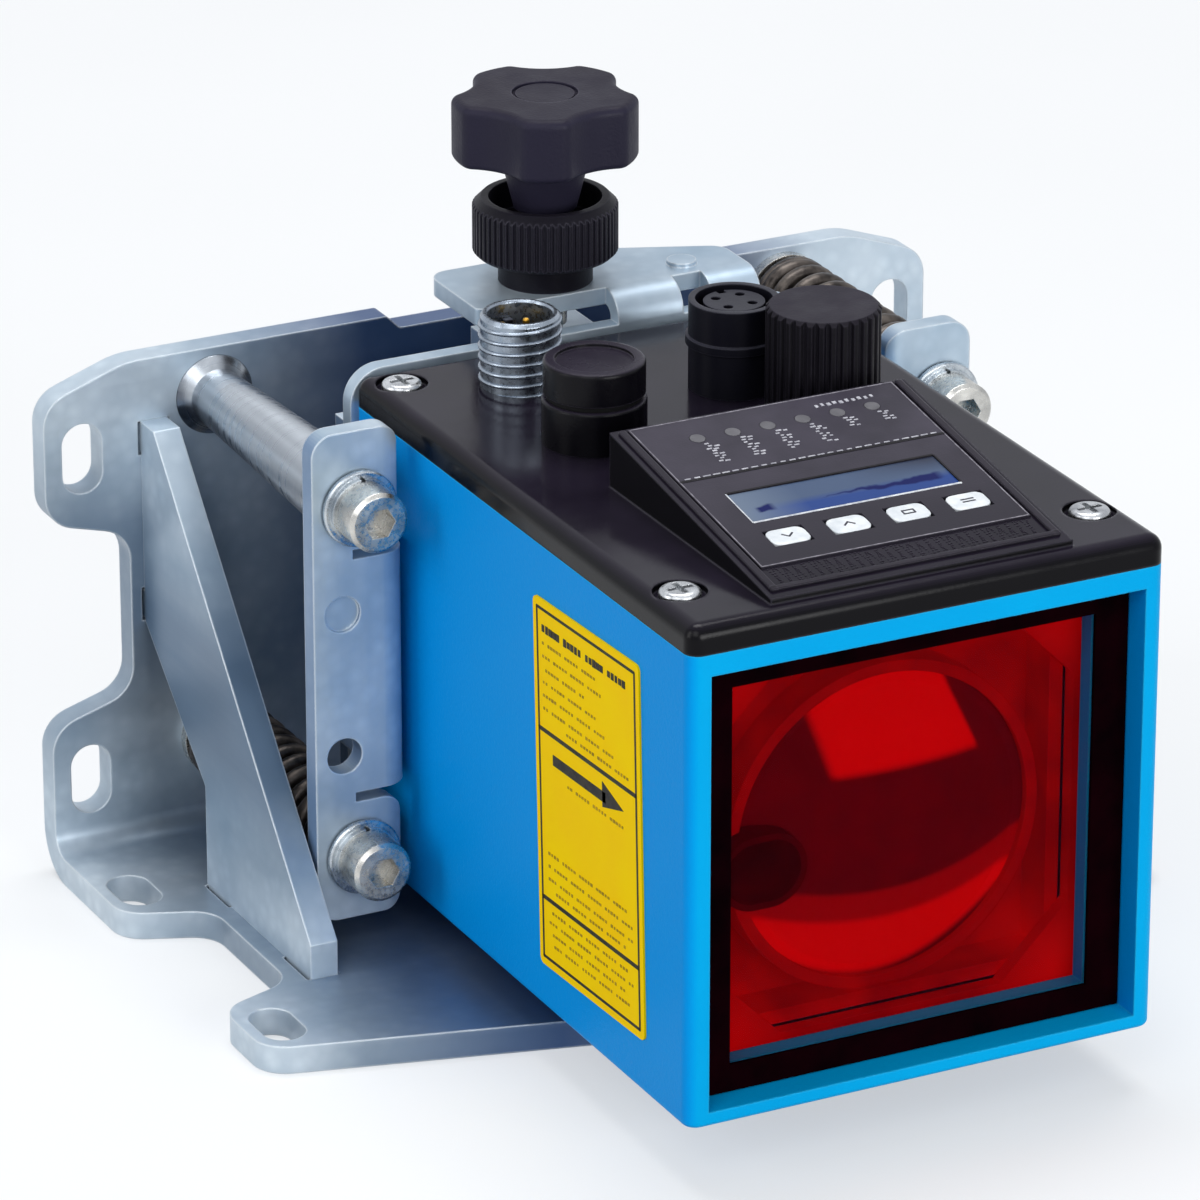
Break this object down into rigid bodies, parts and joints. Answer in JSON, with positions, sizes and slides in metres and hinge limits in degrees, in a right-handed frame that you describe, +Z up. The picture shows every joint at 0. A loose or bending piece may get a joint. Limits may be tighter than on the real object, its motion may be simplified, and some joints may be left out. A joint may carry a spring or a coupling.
{
  "type": "laser distance sensor",
  "caption": "Box-shaped laser distance sensor with a red window, on a folded steel alignment bracket with sprung adjusting screws and a clamp knob.",
  "frame": {"origin": "centre of the whole object's outline seen from above, on the face the bracket stands on", "axes": "+Z up, +X across the window to the right seen from the front, -Y the way the beam leaves"},
  "size_m": [0.1386, 0.1306, 0.1112],
  "materials": {
    "zinc_sheet": "satin",
    "screw_steel": "polished",
    "spring_steel": "satin",
    "blue_paint": "semi gloss",
    "black_gloss": "gloss",
    "black_matt": "matt",
    "red_filter": "polished",
    "lens_glass": "polished",
    "nickel": "satin",
    "gold_pins": "polished",
    "seal_rubber": "matt",
    "circuit_board": "satin",
    "standoff": "satin",
    "panel_film": "satin",
    "display_glass": "gloss",
    "light_lens": "gloss",
    "key_white": "satin",
    "label_yellow": "satin"
  },
  "bodies": {
    "mounting": {"mounting_bracket": "zinc_sheet", "gusset_left": "zinc_sheet", "gusset_right": "zinc_sheet", "pivot_post": "zinc_sheet", "pivot_screw": "screw_steel", "pivot_washer": "screw_steel", "yaw_nut": "screw_steel", "pitch_nut": "screw_steel", "yaw_spring": "spring_steel", "pitch_spring": "spring_steel"},
    "pivot": {"pivot_ball": "screw_steel"},
    "carriage": {"alignment_cradle": "zinc_sheet", "device_plate": "zinc_sheet", "rear_screws": "screw_steel", "housing": "blue_paint", "window_pane": "red_filter", "window_bezel": "black_matt", "lens_frame": "black_matt", "receiver_lens": "lens_glass", "emitter_tube": "black_matt", "emitter_lens": "lens_glass", "laser_module": "nickel", "optics_carrier": "black_matt", "detector_board": "circuit_board", "main_board": "circuit_board", "board_posts": "standoff", "lid": "black_gloss", "lid_gasket": "seal_rubber", "lid_screws": "screw_steel", "panel_overlay": "panel_film", "display": "display_glass", "indicator_lights": "light_lens", "panel_board": "circuit_board", "power_plug": "nickel", "power_insert": "black_matt", "power_pins": "gold_pins", "data_socket": "black_matt", "data_insert": "black_matt", "capped_socket": "black_matt", "port_inserts": "black_matt", "fluted_plug": "black_matt", "threaded_bush": "black_matt", "label_plate": "label_yellow", "vent_plug": "black_matt"},
    "yaw_screw": {"yaw_screw": "screw_steel", "yaw_washer": "screw_steel"},
    "pitch_screw": {"pitch_screw": "screw_steel", "pitch_washer": "screw_steel"},
    "socket_cap_seal": {"cap_seal": "seal_rubber"},
    "socket_cap": {"socket_cap": "black_gloss"},
    "fluted_cap_seal": {"fluted_seal": "seal_rubber"},
    "fluted_cap": {"fluted_cap": "black_gloss"},
    "lock_ring": {"lock_ring": "black_matt"},
    "spindle_seal": {"spindle_seal": "seal_rubber"},
    "knob": {"star_knob": "black_matt", "knob_spindle": "screw_steel"},
    "key_down": {"key_down": "key_white"},
    "key_up": {"key_up": "key_white"},
    "key_enter": {"key_enter": "key_white"},
    "key_back": {"key_back": "key_white"}
  },
  "joints": [
    {"name": "cradle_yaw", "type": "hinge", "parent": "mounting", "child": "pivot", "pos_m": [-0.0435, 0.01575, 0.0687], "axis": [0, 0, 1], "range_deg": [-2, 2], "deforming": ["yaw_spring"]},
    {"name": "cradle_pitch", "type": "hinge", "parent": "pivot", "child": "carriage", "pos_m": [-0.0435, 0.01575, 0.0687], "axis": [1, 0, 0], "range_deg": [-2, 2], "deforming": ["pitch_spring"]},
    {"name": "yaw_screw_travel", "type": "slide", "parent": "mounting", "child": "yaw_screw", "axis": [0, 1, 0], "range_m": [-0.00315, 0.00315], "deforming": ["yaw_spring"]},
    {"name": "pitch_screw_travel", "type": "slide", "parent": "mounting", "child": "pitch_screw", "axis": [0, 1, 0], "range_m": [-0.0018, 0.0018], "deforming": ["pitch_spring"]},
    {"name": "socket_cap_lift", "type": "slide", "parent": "carriage", "child": "socket_cap_seal", "axis": [0, 0, 1], "range_m": [0, 0.00201]},
    {"name": "socket_cap_turn", "type": "hinge", "parent": "socket_cap_seal", "child": "socket_cap", "pos_m": [-0.0161, -0.00165, 0.08], "axis": [0, 0, 1], "range_deg": [0, 720]},
    {"name": "fluted_cap_lift", "type": "slide", "parent": "carriage", "child": "fluted_cap_seal", "axis": [0, 0, 1], "range_m": [0, 0.00201]},
    {"name": "fluted_cap_turn", "type": "hinge", "parent": "fluted_cap_seal", "child": "fluted_cap", "pos_m": [0.0162, -0.00575, 0.08], "axis": [0, 0, 1], "range_deg": [0, 720]},
    {"name": "lock_ring_turn", "type": "hinge", "parent": "carriage", "child": "lock_ring", "pos_m": [0, 0.04525, 0.08], "axis": [0, 0, 1], "continuous": true},
    {"name": "knob_lift", "type": "slide", "parent": "carriage", "child": "spindle_seal", "axis": [0, 0, 1], "range_m": [0, 0.00301]},
    {"name": "knob_turn", "type": "hinge", "parent": "spindle_seal", "child": "knob", "pos_m": [0, 0.04525, 0.08], "axis": [0, 0, 1], "range_deg": [0, 1080]},
    {"name": "key_down_press", "type": "slide", "parent": "carriage", "child": "key_down", "axis": [0, 0.1494, -0.9888], "range_m": [0, 0.0003], "stiffness_N_per_m": 3000},
    {"name": "key_up_press", "type": "slide", "parent": "carriage", "child": "key_up", "axis": [0, 0.1494, -0.9888], "range_m": [0, 0.0003], "stiffness_N_per_m": 3000},
    {"name": "key_enter_press", "type": "slide", "parent": "carriage", "child": "key_enter", "axis": [0, 0.1494, -0.9888], "range_m": [0, 0.0003], "stiffness_N_per_m": 3000},
    {"name": "key_back_press", "type": "slide", "parent": "carriage", "child": "key_back", "axis": [0, 0.1494, -0.9888], "range_m": [0, 0.0003], "stiffness_N_per_m": 3000}
  ],
  "couplings": [
    {"joint": "yaw_screw_travel", "follows": "cradle_yaw", "m_per_rad": 0.0895},
    {"joint": "pitch_screw_travel", "follows": "cradle_pitch", "m_per_rad": 0.0512},
    {"joint": "socket_cap_lift", "follows": "socket_cap_turn", "m_per_rad": 0.00015915},
    {"joint": "fluted_cap_lift", "follows": "fluted_cap_turn", "m_per_rad": 0.00015915},
    {"joint": "knob_lift", "follows": "knob_turn", "m_per_rad": 0.00015915}
  ]
}
